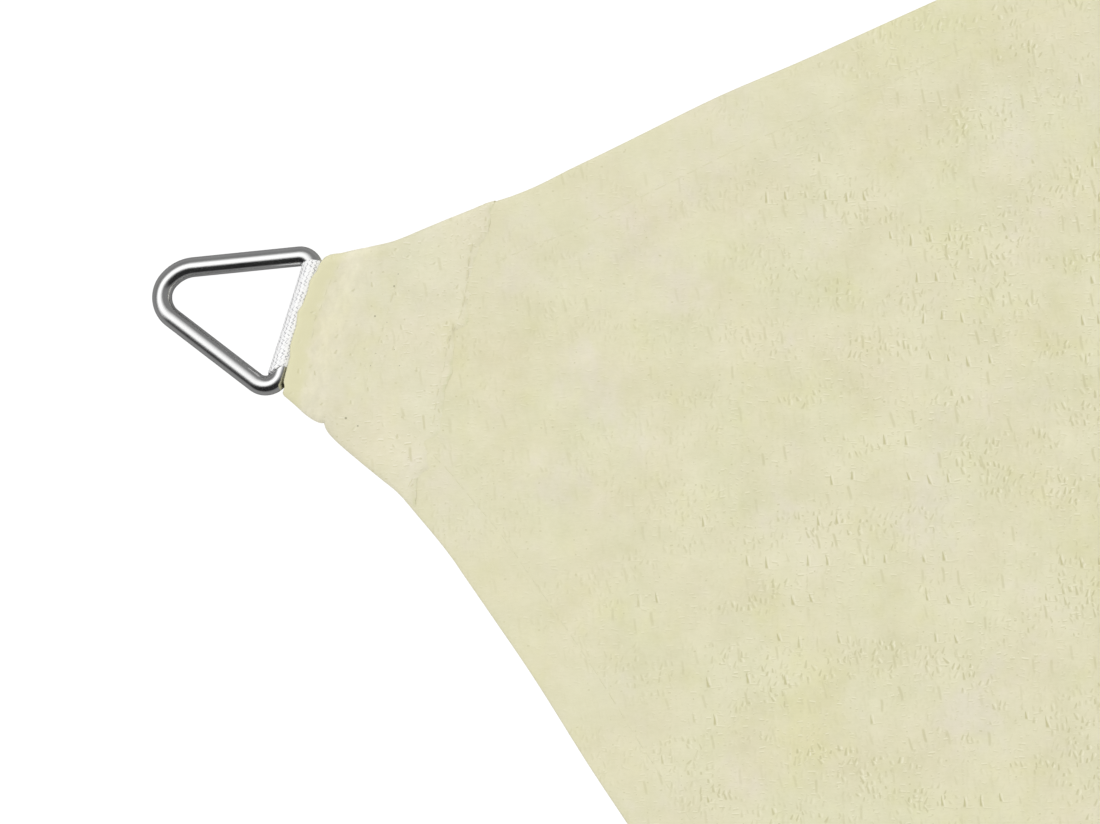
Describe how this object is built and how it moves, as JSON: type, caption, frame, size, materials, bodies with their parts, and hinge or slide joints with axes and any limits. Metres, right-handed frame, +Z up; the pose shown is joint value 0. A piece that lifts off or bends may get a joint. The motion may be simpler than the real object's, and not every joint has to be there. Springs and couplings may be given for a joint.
{
  "type": "shade sail",
  "caption": "Square knitted shade sail with curved-in sides, lying flat, with a steel triangle ring on a webbing loop at each corner.",
  "frame": {"origin": "on the ground under the middle of the sail", "axes": "+Z up out of the ground; X and Y along the sail's sides; the corner that the picture shows is at -X, +Y"},
  "size_m": [2.0082, 2.0082, 0.0105],
  "materials": {
    "knit_cloth": "cream knitted polyethylene, matt",
    "patch_cloth": "the same knit, doubled and sewn",
    "webbing": "white woven strap",
    "ring_steel": "polished stainless wire"
  },
  "bodies": {
    "root": {"sail_cloth": "knit_cloth", "corner_patch_1": "patch_cloth", "corner_patch_2": "patch_cloth", "corner_patch_3": "patch_cloth", "corner_patch_4": "patch_cloth", "webbing_1": "webbing", "webbing_2": "webbing", "webbing_3": "webbing", "webbing_4": "webbing", "ring_1": "ring_steel", "ring_2": "ring_steel", "ring_3": "ring_steel", "ring_4": "ring_steel"}
  },
  "joints": []
}
